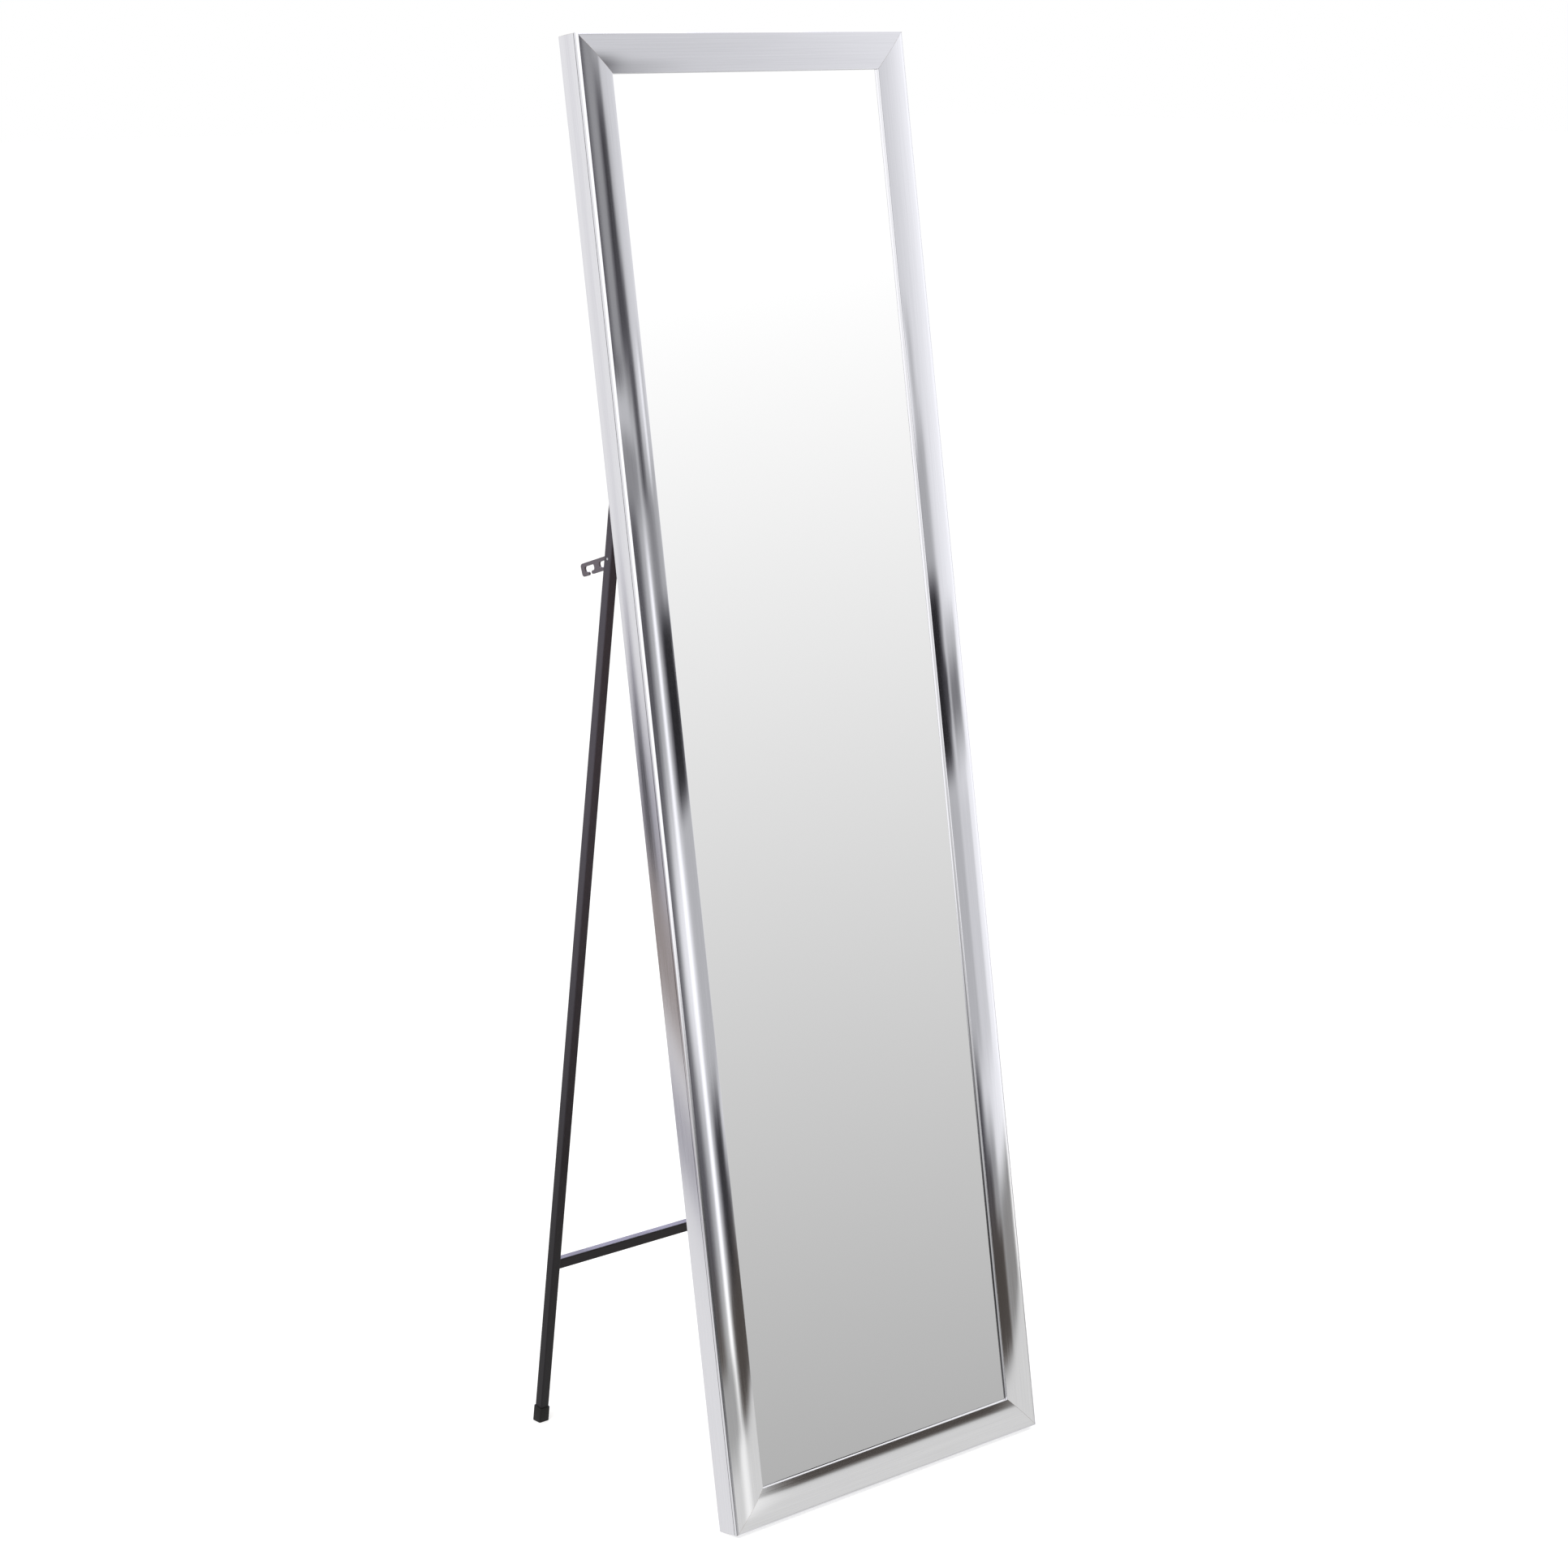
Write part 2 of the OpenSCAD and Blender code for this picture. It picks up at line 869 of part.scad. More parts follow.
// ---- Stay brackets and rivets ----

module stay_screw_spots() {
  on_both_sides()
    for (sz = [-1, 1])
      translate([bracket_screw_x, rail_d + bracket_t, pivot_z + sz * stay_screw_gap / 2])
        children();
}

module stay_bracket() {
  difference() {
    translate([tab_x, rail_d, pivot_z - stay_bracket_len / 2])
      cube([bracket_outer_x - tab_x, bracket_t, stay_bracket_len]);
    stay_screw_spots() screw_hole();
  }
  side_view(tab_x, tab_x + bracket_t)
    difference() {
      union() {
        translate([pivot_y, pivot_z])
          circle(tab_r);
        translate([rail_d + bracket_t - eps, pivot_z - tab_r])
          square([stay_off - bracket_t + eps, 2 * tab_r]);
      }
      translate([pivot_y, pivot_z])
        circle(rivet_r + pivot_fit);
    }
}

module stay_bracket_left() {
  color(black_enamel) on_left() stay_bracket();
}

module stay_bracket_right() {
  color(black_enamel) on_right() stay_bracket();
}

module stay_bracket_screws() {
  color(bright_zinc) leaned() stay_screw_spots() wood_screw();
}

// The countersunk end of a rivet, flush with the stay beside the leg, grown by room
module rivet_head(room) {
  translate([stay_outer_x - rivet_head_t, 0, 0])
    rotate([0, 90, 0])
      cylinder(r1 = rivet_r + room, r2 = rivet_head_r + room, h = rivet_head_t);
}

module stay_rivet() {
  in_stay_line() {
    cross_rod(rivet_r, tab_x - eps, stay_outer_x - rivet_head_t + eps);
    rivet_head(0);
    cross_rod(rivet_head_r, tab_x - rivet_tail_t, tab_x);
  }
}

module stay_rivet_left() {
  color(bright_zinc) on_left() stay_rivet();
}

module stay_rivet_right() {
  color(bright_zinc) on_right() stay_rivet();
}

frame_rail_top();
frame_rail_bottom();
frame_rail_left();
frame_rail_right();
mirror_glass();
card_sheet();
back_board();
framing_points();
corner_plate_top_left();
corner_plate_top_right();
corner_plate_bottom_left();
corner_plate_bottom_right();
corner_screws();
hinge_bracket_left();
hinge_bracket_right();
hinge_screws();
pivot_bolt_left();
pivot_bolt_right();
lock_nut_left();
lock_nut_right();
nylon_washers();
stay_bracket_left();
stay_bracket_right();
stay_bracket_screws();
stay_rivet_left();
stay_rivet_right();
stay_left();
stay_right();
stand_leg_left();
stand_leg_right();
stand_crossbar();
leg_plug_left();
leg_plug_right();
stay_pin_left();
stay_pin_right();
foot_cap_left();
foot_cap_right();
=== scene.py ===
from math import asin, cos, degrees, pi, radians, sin

import bpy
from mathutils import Matrix, Vector


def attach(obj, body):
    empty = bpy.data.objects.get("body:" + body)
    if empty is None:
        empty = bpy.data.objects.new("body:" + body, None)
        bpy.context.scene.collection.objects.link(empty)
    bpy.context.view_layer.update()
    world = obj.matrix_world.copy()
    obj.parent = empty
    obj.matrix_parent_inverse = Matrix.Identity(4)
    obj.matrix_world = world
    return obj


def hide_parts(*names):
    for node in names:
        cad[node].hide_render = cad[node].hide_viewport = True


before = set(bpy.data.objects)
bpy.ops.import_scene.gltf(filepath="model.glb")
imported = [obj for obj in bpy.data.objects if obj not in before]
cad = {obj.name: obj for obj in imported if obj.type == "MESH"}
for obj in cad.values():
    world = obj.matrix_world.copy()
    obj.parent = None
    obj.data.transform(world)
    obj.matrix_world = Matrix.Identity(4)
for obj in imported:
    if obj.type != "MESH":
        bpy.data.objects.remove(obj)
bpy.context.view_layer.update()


# ---- The photographer's place ----
# The mirror was photographed from 1.4 metres up, left of its middle and a little over
# three metres away, through a long lens. The picture was cropped a little off centre.
lens_data = bpy.data.cameras.new("photo_camera")
lens_data.sensor_width = 36
lens_data.lens = 79.058
lens_data.shift_y = 0.0383
lens_data.clip_end = 100
photo_camera = bpy.data.objects.new("photo_camera", lens_data)
photo_camera.location = (-2.14441, -2.47145, 1.41395)
photo_camera.rotation_euler = (1.330797, 0, -0.717897)
bpy.context.scene.collection.objects.link(photo_camera)
bpy.context.scene.camera = photo_camera
bpy.context.scene.view_settings.view_transform = "Standard"


# ---- Frame rails ----
# Four lengths of wooden moulding under a polished silver foil: a bead round the outer
# edge, a crowned face, a small step down to the glass. Each end is sawn to a mitre.
LEAN = radians(8.9)
FRAME_W = 0.400
FRAME_H = 1.400
RAIL_W = 0.037
RAIL_D = 0.0246
FRONT_Y = -0.176399
SMOOTH_BELOW = radians(30)
MIDDLE = Vector((0, 0, FRAME_H / 2))
# The upright mirror, leaned back on its lower back edge as it stands on the floor
leaned = Matrix.Translation((0, FRONT_Y, RAIL_D * sin(LEAN))) @ Matrix.Rotation(-LEAN, 4, "X")


def start_plane(name, size, place):
    """A flat square with its place in its mesh, left in edit mode and all selected."""
    bpy.ops.object.select_all(action="DESELECT")
    bpy.ops.mesh.primitive_plane_add(size=size, location=place)
    piece = bpy.context.object
    piece.name = piece.data.name = name
    bpy.ops.object.transform_apply(location=True, rotation=True, scale=True)
    bpy.ops.object.mode_set(mode="EDIT")
    bpy.ops.mesh.select_all(action="SELECT")
    return piece


def start_point(name, place):
    """One corner to draw from: a small square, merged to its middle."""
    piece = start_plane(name, 0.01, place)
    bpy.ops.mesh.merge(type="CENTER")
    return piece


def draw_to(*steps):
    """Draws on from what is selected, by one step after another."""
    for step in steps:
        bpy.ops.mesh.extrude_region_move(TRANSFORM_OT_translate={"value": step})


def draw_arc(centre, turn, steps, axis=(0, 0, 1)):
    """Draws on round a centre, by a turn in degrees."""
    bpy.ops.mesh.spin(steps=steps, angle=-radians(turn), center=centre, axis=axis)


def close_up():
    """Merges what was drawn twice, and turns every face outwards."""
    bpy.ops.mesh.select_all(action="SELECT")
    bpy.ops.mesh.remove_doubles(threshold=1e-6)
    bpy.ops.mesh.normals_make_consistent(inside=False)


def cut_off(point, outward):
    """Saws off what lies beyond a plane, and closes the cut."""
    bpy.ops.mesh.select_all(action="SELECT")
    bpy.ops.mesh.bisect(plane_co=point, plane_no=outward, use_fill=True, clear_outer=True,
                        threshold=1e-7)


def select_only(piece):
    """Selects one piece and nothing else, and makes it the active one."""
    bpy.ops.object.select_all(action="DESELECT")
    piece.select_set(True)
    bpy.context.view_layer.objects.active = piece


def put_in_place(piece, matrix):
    """Moves a finished piece to its place, with the place in its mesh, and smooths it."""
    piece.matrix_world = matrix
    select_only(piece)
    bpy.ops.object.transform_apply(location=True, rotation=True, scale=True)
    bpy.ops.object.shade_smooth_by_angle(angle=SMOOTH_BELOW)


def set_inputs(tree, node, values):
    """Sets or links a node's inputs, by name or number."""
    for key, value in dict(values).items():
        if isinstance(value, bpy.types.NodeSocket):
            tree.links.new(value, node.inputs[key])
        else:
            node.inputs[key].default_value = value


def add_node(tree, kind, values=(), **settings):
    """A shader node with its settings and its inputs."""
    made = tree.nodes.new(kind)
    for name, value in settings.items():
        setattr(made, name, value)
    set_inputs(tree, made, values)
    return made


def sums(tree, operation, *terms):
    """One step of arithmetic on numbers and sockets."""
    return add_node(tree, "ShaderNodeMath", enumerate(terms), operation=operation).outputs[0]


def ease(tree, value, start, end, low=0.0, high=1.0):
    """A soft step from low to high, as value goes from start to end."""
    inputs = {"Value": value, "From Min": start, "From Max": end, "To Min": low, "To Max": high}
    made = add_node(tree, "ShaderNodeMapRange", inputs, interpolation_type="SMOOTHSTEP")
    return made.outputs["Result"]


def mix(tree, kind, factor, first, second, label=""):
    """From first to second as the factor goes from 0 to 1. Colours are RGBA, numbers FLOAT."""
    inputs = {"Factor": factor, "A": first, "B": second}
    made = add_node(tree, "ShaderNodeMix", inputs, data_type=kind, label=label)
    return made.outputs["Result"]


def noise(tree, place, scale, detail, roughness=0.5):
    """Noise over the surface, from 0 to 1."""
    inputs = {"Vector": place, "Scale": scale, "Detail": detail, "Roughness": roughness}
    return add_node(tree, "ShaderNodeTexNoise", inputs).outputs["Fac"]


def relief(tree, strength, distance, height):
    """The normals of a fine relief, as high as distance in metres."""
    inputs = {"Strength": strength, "Distance": distance, "Height": height}
    return add_node(tree, "ShaderNodeBump", inputs).outputs[0]


def new_group(name, inputs, outputs):
    """An empty node group with named sockets, the sockets it is given, and its end node."""
    tree = bpy.data.node_groups.new(name, "ShaderNodeTree")
    for way, sockets in (("INPUT", inputs), ("OUTPUT", outputs)):
        for socket, kind in sockets.items():
            tree.interface.new_socket(socket, in_out=way, socket_type="NodeSocket" + kind)
    return tree, add_node(tree, "NodeGroupInput").outputs, add_node(tree, "NodeGroupOutput")


def new_finish(name, constants=()):
    """An empty material: its node tree and its shader, with the constant sockets set."""
    finish = bpy.data.materials.new(name)
    finish.use_nodes = True
    shader = finish.node_tree.nodes["Principled BSDF"]
    set_inputs(finish.node_tree, shader, constants)
    return finish, finish.node_tree, shader


# Foil pressed over wood: fine lines left by the rollers, and slow waves under them
foil_lines, given, group_end = new_group(
    "foil_lines",
    {"Place": "Vector", "Lines": "Float", "Waves": "Float"},
    {"Shade": "Float", "Roughness": "Float", "Height": "Float"})
fine_lines = noise(foil_lines, given["Place"], given["Lines"], 6.0, 0.65)
slow_waves = noise(foil_lines, given["Place"], given["Waves"], 2.0)
set_inputs(foil_lines, group_end, {
    "Shade": ease(foil_lines, fine_lines, 0.25, 0.75),
    "Roughness": ease(foil_lines, fine_lines, 0.2, 0.8, 0.07, 0.13),
    "Height": sums(foil_lines, "MULTIPLY_ADD", slow_waves, 6.0, fine_lines)})


def silver_foil(name, along):
    """The foil, with its lines running along X on the end rails, or along Z when upright."""
    finish, tree, shader = new_finish(name, {"Metallic": 1.0})
    place = add_node(tree, "ShaderNodeTexCoord").outputs["Object"]
    upright = add_node(tree, "ShaderNodeMapping", {"Vector": place, "Rotation": (LEAN, 0, 0)})
    stretched = add_node(tree, "ShaderNodeMapping", {"Vector": upright.outputs[0], "Scale": along})
    lines = add_node(tree, "ShaderNodeGroup",
                     {"Place": stretched.outputs[0], "Lines": 900, "Waves": 40},
                     node_tree=foil_lines).outputs
    set_inputs(tree, shader, {
        "Base Color": mix(tree, "RGBA", lines["Shade"], (0.830, 0.826, 0.860, 1),
                          (0.890, 0.886, 0.922, 1)),
        "Roughness": lines["Roughness"],
        "Normal": relief(tree, 0.35, 0.00001, lines["Height"])})
    return finish


foil_upright = silver_foil("silver_foil_side", (1, 1, 0.01))
foil_across = silver_foil("silver_foil_end", (0.01, 1, 1))

# The narrow quirk in the rail's side is painted dark: painted shade, for the shadow in the groove
quirk_painted_shade, tree, shader = new_finish("quirk_painted_shade", {"Metallic": 0.6})
place = add_node(tree, "ShaderNodeTexCoord").outputs["Object"]
shade_mottle = noise(tree, place, 60.0, 4.0)
set_inputs(tree, shader, {
    "Base Color": mix(tree, "RGBA", ease(tree, shade_mottle, 0.35, 0.65), (0.07, 0.065, 0.080, 1),
                      (0.19, 0.18, 0.21, 1)),
    "Roughness": ease(tree, shade_mottle, 0.2, 0.8, 0.35, 0.6)})

# The sawn back of the moulding: pale pressed wood with a fine fleck
bare_wood, tree, shader = new_finish("bare_moulding", {"Roughness": 0.8})
place = add_node(tree, "ShaderNodeTexCoord").outputs["Object"]
fleck = noise(tree, place, 420.0, 8.0, 0.7)
set_inputs(tree, shader, {
    "Base Color": mix(tree, "RGBA", ease(tree, fleck, 0.35, 0.65), (0.42, 0.29, 0.17, 1),
                      (0.58, 0.43, 0.28, 1)),
    "Normal": relief(tree, 0.4, 0.0002, fleck)})


def frame_rail(name, reach, span, turn, foil, node):
    """One mitred rail: reach is from the mirror's middle to its outer edge."""
    outer = -reach
    low = FRAME_H / 2 - span / 2
    high = FRAME_H / 2 + span / 2
    # The side swells a little from the back to the quirk, a narrow groove near the front
    quirk_at = 0.0018
    quirk_wide = 0.0008
    quirk_deep = 0.0004
    quirk_end = quirk_at + quirk_wide
    side_mid = (RAIL_D + quirk_end) / 2
    side_r = 0.300
    side_rise = 0.0002018
    side_turn = 2 * degrees(asin((RAIL_D - side_mid) / side_r))
    # The bead runs from the side's front edge to a small step down to the crown
    bead_x = 0.0026
    bead_y = 0.0004
    bead_turn = 73.25
    bead_end = 0.002234
    bead_top = -0.002204
    # The crown ends in a small round edge, with a thin lip and the glass's ledge behind it
    crown_mid = 0.0198
    crown_to = 0.0362
    crown_r = 0.104096
    edge_top = -0.0022
    edge_r = 0.0008
    lip_back = 0.0008
    ledge = 0.0290
    crown_from_turn = asin((crown_mid - bead_end) / crown_r)
    crown_to_turn = asin((crown_to - crown_mid) / crown_r)
    crown_turn = degrees(crown_from_turn + crown_to_turn)
    crown_deep = edge_top + cos(crown_to_turn) * crown_r
    crown_start = crown_deep - cos(crown_from_turn) * crown_r

    rail = start_point(name, (outer + side_rise, RAIL_D, low))
    draw_arc((outer + side_r, side_mid, low), side_turn, steps=8)
    draw_to((quirk_deep, 0, 0), (0, -quirk_wide, 0), (-quirk_deep - side_rise, 0, 0),
            (0, -quirk_at, 0))
    draw_arc((outer + bead_x, bead_y, low), bead_turn, steps=10)
    draw_to((0, crown_start - bead_top, 0))
    draw_arc((outer + crown_mid, crown_deep, low), crown_turn, steps=34)
    draw_arc((outer + crown_to, edge_top + edge_r, low), 90, steps=6)
    draw_to((0, lip_back - edge_top - edge_r, 0), (ledge - RAIL_W, 0, 0), (0, RAIL_D - lip_back, 0))
    bpy.ops.mesh.select_all(action="SELECT")
    bpy.ops.mesh.edge_face_add()
    draw_to((0, 0, span))
    close_up()
    # The foil is wrapped a little way round onto the back
    foil_wrap = 0.006
    bpy.ops.mesh.bisect(plane_co=(outer + foil_wrap, 0, 0), plane_no=(1, 0, 0), threshold=1e-7)
    # The mitres are sawn a hair short, so that a fine line shows at each joint
    saw_loss = 0.00010
    for corner, way in ((low, -1), (high, 1)):
        cut_off((outer - saw_loss, 0, corner), (1, 0, way))
    close_up()
    bpy.ops.object.mode_set(mode="OBJECT")

    # The third finish is the painted shade in the quirk
    for finish in (foil, bare_wood, quirk_painted_shade):
        rail.data.materials.append(finish)
    near = 1e-5
    for face in rail.data.polygons:
        across = face.center.x - outer
        behind = face.normal.y > 0.9 and across > foil_wrap
        sawn = abs(face.normal.x * face.normal.z) > 0.4
        in_ledge = abs(across - ledge) < near and face.normal.x > 0.9
        beside_quirk = quirk_at - near < face.center.y < quirk_end + near
        in_quirk = beside_quirk and near < across < 2 * quirk_deep
        face.material_index = 2 if in_quirk else int(behind or sawn or in_ledge)
    turned = Matrix.Rotation(radians(turn), 4, "Y")
    spun = Matrix.Translation(MIDDLE) @ turned @ Matrix.Translation(-MIDDLE)
    put_in_place(rail, leaned @ spun)
    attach(rail, "mirror")
    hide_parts(node)


frame_rail("moulding_left", FRAME_W / 2, FRAME_H, 0, foil_upright, "frame_rail_left")
frame_rail("moulding_right", FRAME_W / 2, FRAME_H, 180, foil_upright, "frame_rail_right")
frame_rail("moulding_top", FRAME_H / 2, FRAME_W, 90, foil_across, "frame_rail_top")
frame_rail("moulding_bottom", FRAME_H / 2, FRAME_W, -90, foil_across, "frame_rail_bottom")


# ---- Mirror glass ----
# Four millimetre float glass with a silvered back, laid in the rails' ledge, which hides
# its sawn edge. A thin dark line is painted in it along the side rails, a painted reflection of the
# rails' shaded lip, and it fades out upwards.
def times(tree, *masks):
    """Masks and numbers multiplied together."""
    product = masks[0]
    for mask in masks[1:]:
        product = sums(tree, "MULTIPLY", product, mask)
    return product


silvered_glass, tree, shader = new_finish("silvered_glass", {"Metallic": 1.0, "Roughness": 0.0})
place = add_node(tree, "ShaderNodeTexCoord").outputs["Object"]
upright = add_node(tree, "ShaderNodeMapping", {"Vector": place, "Rotation": (LEAN, 0, 0)})
split = add_node(tree, "ShaderNodeSeparateXYZ", {"Vector": upright.outputs[0]}).outputs
from_middle = sums(tree, "ABSOLUTE", split["X"])
rail_edge = FRAME_W / 2 - RAIL_W
# Painted reflection: the silver is darkened in a thin line beside the side rails, lower down
painted_lip_reflection = times(tree, ease(tree, from_middle, rail_edge - 0.0009, rail_edge - 0.0003),
                  ease(tree, split["Z"], 0.80, 0.35, 0.0, 0.75))
silver = mix(tree, "RGBA", noise(tree, place, 3.0, 1.0), (0.895, 0.895, 0.895, 1),
             (0.905, 0.905, 0.905, 1))
set_inputs(tree, shader, {"Base Color": mix(tree, "RGBA", painted_lip_reflection, silver, (0.12, 0.12, 0.12, 1))})


def refinish(finish, *nodes):
    """Gives the nodes that keep their CAD shape their real finish."""
    for node in nodes:
        cad[node].data.materials.clear()
        cad[node].data.materials.append(finish)


refinish(silvered_glass, "mirror_glass")


# ---- Card and back board ----
# A sheet of brown card keeps the silver off the board. The board is three millimetre
# hardboard, pressed smooth on the side that shows, and it lies loose in the rails' ledge.
grain, given, group_end = new_group(
    "grain", {"Place": "Vector", "Size": "Float"},
    {"Shade": "Float", "Height": "Float", "Patches": "Float"})
specks = noise(grain, given["Place"], given["Size"], 6.0, 0.6)
slow_patches = noise(grain, given["Place"], sums(grain, "MULTIPLY", given["Size"], 0.02), 3.0)
set_inputs(grain, group_end, {
    "Shade": ease(grain, specks, 0.3, 0.7),
    "Height": specks,
    "Patches": ease(grain, slow_patches, 0.35, 0.65)})


def grained(name, size, dark, light, shine, depth, spread=0.5, constants=()):
    """A finish whose colour and shine run between two values over its grain and patches."""
    finish, tree, shader = new_finish(name, constants)
    place = add_node(tree, "ShaderNodeTexCoord").outputs["Object"]
    mottle = add_node(tree, "ShaderNodeGroup", {"Place": place, "Size": size},
                      node_tree=grain).outputs
    mixed = mix(tree, "FLOAT", spread, mottle["Shade"], mottle["Patches"])
    set_inputs(tree, shader, {
        "Base Color": mix(tree, "RGBA", mixed, (*dark, 1), (*light, 1)),
        "Roughness": ease(tree, mixed, 0.0, 1.0, *shine),
        "Normal": relief(tree, 0.5, depth, mottle["Height"])})
    return finish


kraft_card = grained("kraft_card", 500, (0.46, 0.32, 0.19), (0.56, 0.41, 0.26),
                     (0.75, 0.9), 0.0001)
hardboard = grained("hardboard", 650, (0.210, 0.132, 0.072), (0.285, 0.188, 0.110),
                    (0.42, 0.62), 0.00012, spread=0.4)
refinish(kraft_card, "card_sheet")
refinish(hardboard, "back_board")


# ---- Framing points and corner plates ----
# Thin steel points are fired into the rails to hold the board in. A flat pressed steel
# angle lies across each mitre behind, and all of them are bright zinc plated.
bright_zinc = grained("bright_zinc", 900, (0.60, 0.61, 0.64), (0.74, 0.745, 0.75),
                      (0.24, 0.42), 0.00003, spread=0.6, constants={"Metallic": 1.0})
refinish(bright_zinc, "framing_points", "corner_plate_bottom_left", "corner_plate_bottom_right",
         "corner_plate_top_left", "corner_plate_top_right")


# ---- Corner plate screws ----
# Four short pan head wood screws hold each plate, with a cross recess pressed in the head.
# They are zinc plated too, and no two stopped at the same turn.
def turn_round(steps):
    """Turns the drawn half outline about Z into a round piece."""
    bpy.ops.mesh.select_all(action="SELECT")
    bpy.ops.mesh.spin(steps=steps, angle=2 * pi, center=(0, 0, 0), axis=(0, 0, 1))
    close_up()


def cross_head(name, head_r, head_h, shank_r, length, tip=0.0, ridges=0):
    """A domed head with a cross recess, its seat at the origin, over a shank that ends in a
    point as long as tip, or has thread ridges where some are asked for."""
    rim = head_h * 0.25
    dome_r = (head_r ** 2 + (head_h - rim) ** 2) / (2 * (head_h - rim))
    dome_turn = degrees(asin(head_r / dome_r))
    pitch = 0.0008
    thread_deep = 0.00035
    screw = start_point(name, (0, 0, -length))
    if ridges:
        draw_to((shank_r - thread_deep, 0, 0))
        for _ in range(ridges):
            draw_to((thread_deep, 0, pitch / 2), (-thread_deep, 0, pitch / 2))
        draw_to((thread_deep, 0, 0))
    else:
        draw_to((shank_r, 0, tip))
    draw_to((0, 0, length - ridges * pitch - tip), (head_r - shank_r, 0, 0), (0, 0, rim))
    draw_arc((0, 0, head_h - dome_r), -dome_turn, steps=8, axis=(0, 1, 0))
    turn_round(36)
    bpy.ops.object.mode_set(mode="OBJECT")

    # The recess is drawn as a cross over the head, and narrows downwards
    arm = head_r * 0.145
    out = head_r * 0.52 - arm
    above = head_h * 1.1
    deep = head_h * 0.85
    recess = start_point("cross_recess", (arm, arm, above))
    draw_to((out, 0, 0), (0, -2 * arm, 0), (-out, 0, 0), (0, -out, 0), (-2 * arm, 0, 0), (0, out, 0),
            (-out, 0, 0), (0, 2 * arm, 0), (out, 0, 0), (0, out, 0), (2 * arm, 0, 0), (0, -out, 0))
    bpy.ops.mesh.select_all(action="SELECT")
    bpy.ops.mesh.remove_doubles(threshold=1e-6)
    bpy.ops.mesh.edge_face_add()
    draw_to((0, 0, -deep))
    bpy.ops.transform.resize(value=(0.6, 0.6, 1), center_override=(0, 0, 0))
    close_up()
    bpy.ops.object.mode_set(mode="OBJECT")
    select_only(screw)
    cut = screw.modifiers.new("recess", "BOOLEAN")
    cut.operation = "DIFFERENCE"
    cut.object = recess
    bpy.ops.object.modifier_apply(modifier=cut.name)
    bpy.data.objects.remove(recess)
    screw.data.materials.append(bright_zinc)
    return screw


def copy_to(pattern, name, matrix, body, node):
    """A copy of a finished pattern, in its own place with its own mesh."""
    piece = pattern.copy()
    piece.data = pattern.data.copy()
    piece.name = piece.data.name = name
    bpy.context.scene.collection.objects.link(piece)
    put_in_place(piece, matrix)
    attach(piece, body)
    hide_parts(node)
    return piece


# Where the screws' heads rest, on the back of the steel plates
SEAT_Y = 0.0261
wood_screw = cross_head("wood_screw", head_r=0.0029, head_h=0.0018, shank_r=0.0015,
                        length=0.014, tip=0.004)


def wood_screw_at(name, x, z, turn, node):
    """A wood screw driven into a rail's back from behind, and stopped at a turn in degrees."""
    driven = leaned @ Matrix.Translation((x, SEAT_Y, z)) @ Matrix.Rotation(-pi / 2, 4, "X")
    stopped = Matrix.Rotation(radians(turn), 4, "Z")
    copy_to(wood_screw, name, driven @ stopped, "mirror", node)


# A plate's holes, by how far they are from the mirror's middle line and from its end
plate_holes = ((0.1395, 0.0145), (0.1645, 0.0145), (0.1855, 0.0355), (0.1855, 0.0605))
number = 0
for side in (-1, 1):
    for end in (0, FRAME_H):
        for across, from_end in plate_holes:
            number += 1
            wood_screw_at(f"corner_screw_{number:02d}", side * across, abs(end - from_end),
                          number * 37, "corner_screws")


# ---- Hinge brackets ----
# A small folded steel bracket behind each side rail carries a leg between its two ears.
# It is enamelled black and held by two of the same wood screws.
black_enamel = grained("black_enamel", 1100, (0.0085, 0.0072, 0.0092), (0.0145, 0.0128, 0.0155),
                       (0.34, 0.48), 0.00004, spread=0.45, constants={"Specular IOR Level": 0.28})
# The enamel is painted lighter higher up: a painted sheen, for the light it catches there
tree = black_enamel.node_tree
shader = tree.nodes["Principled BSDF"]
place = add_node(tree, "ShaderNodeTexCoord").outputs["Object"]
height = add_node(tree, "ShaderNodeSeparateXYZ", {"Vector": place}).outputs["Z"]
enamel = shader.inputs["Base Color"].links[0].from_socket
painted_sheen_tone = mix(tree, "RGBA", ease(tree, height, 0.10, 0.75), enamel, (0.058, 0.051, 0.064, 1))
set_inputs(tree, shader, {"Base Color": painted_sheen_tone})
refinish(black_enamel, "hinge_bracket_left", "hinge_bracket_right")
# The pivot's place in the upright mirror, and the line of the screws behind each side rail
HINGE_Y = 0.0346
HINGE_Z = 1.0467
BRACKET_X = 0.186
for side, hand in ((-1, "left"), (1, "right")):
    for level, up, turn in (("low", -0.010, 20), ("high", 0.010, 65)):
        wood_screw_at(f"hinge_screw_{hand}_{level}", side * BRACKET_X, HINGE_Z + up,
                      turn + 15 * side, "hinge_screws")


# ---- Pivot bolts, lock nuts and washers ----
# A zinc plated bolt with a cross head holds each leg between the ears, with a nylon
# washer on both sides of the tube. Its nut has a nylon ring that keeps it from turning.
white_nylon = grained("white_nylon", 700, (0.70, 0.69, 0.62), (0.78, 0.77, 0.71),
                      (0.38, 0.5), 0.00003)
refinish(white_nylon, "nylon_washers")
pivot_bolt = cross_head("bolt", head_r=0.0046, head_h=0.0028, shank_r=0.0025, length=0.020,
                        ridges=7)

# The nut from its bore outwards: the seat, the flats, the collar, and its nylon ring
lock_nut = start_point("nut", (0.00253, 0, 0))
draw_to((0.00137, 0, 0), (0.00077, 0, -0.00045), (0, 0, -0.00225), (-0.00087, 0, -0.00035),
        (-0.00020, 0, -0.00015), (0, 0, -0.00090))
draw_arc((0.0032, 0, -0.0041), 90, steps=4, axis=(0, 1, 0))
draw_to((-0.00015, 0, 0), (-0.00005, 0, 0.00012), (-0.00047, 0, 0), (0, 0, 0.00438))
turn_round(72)
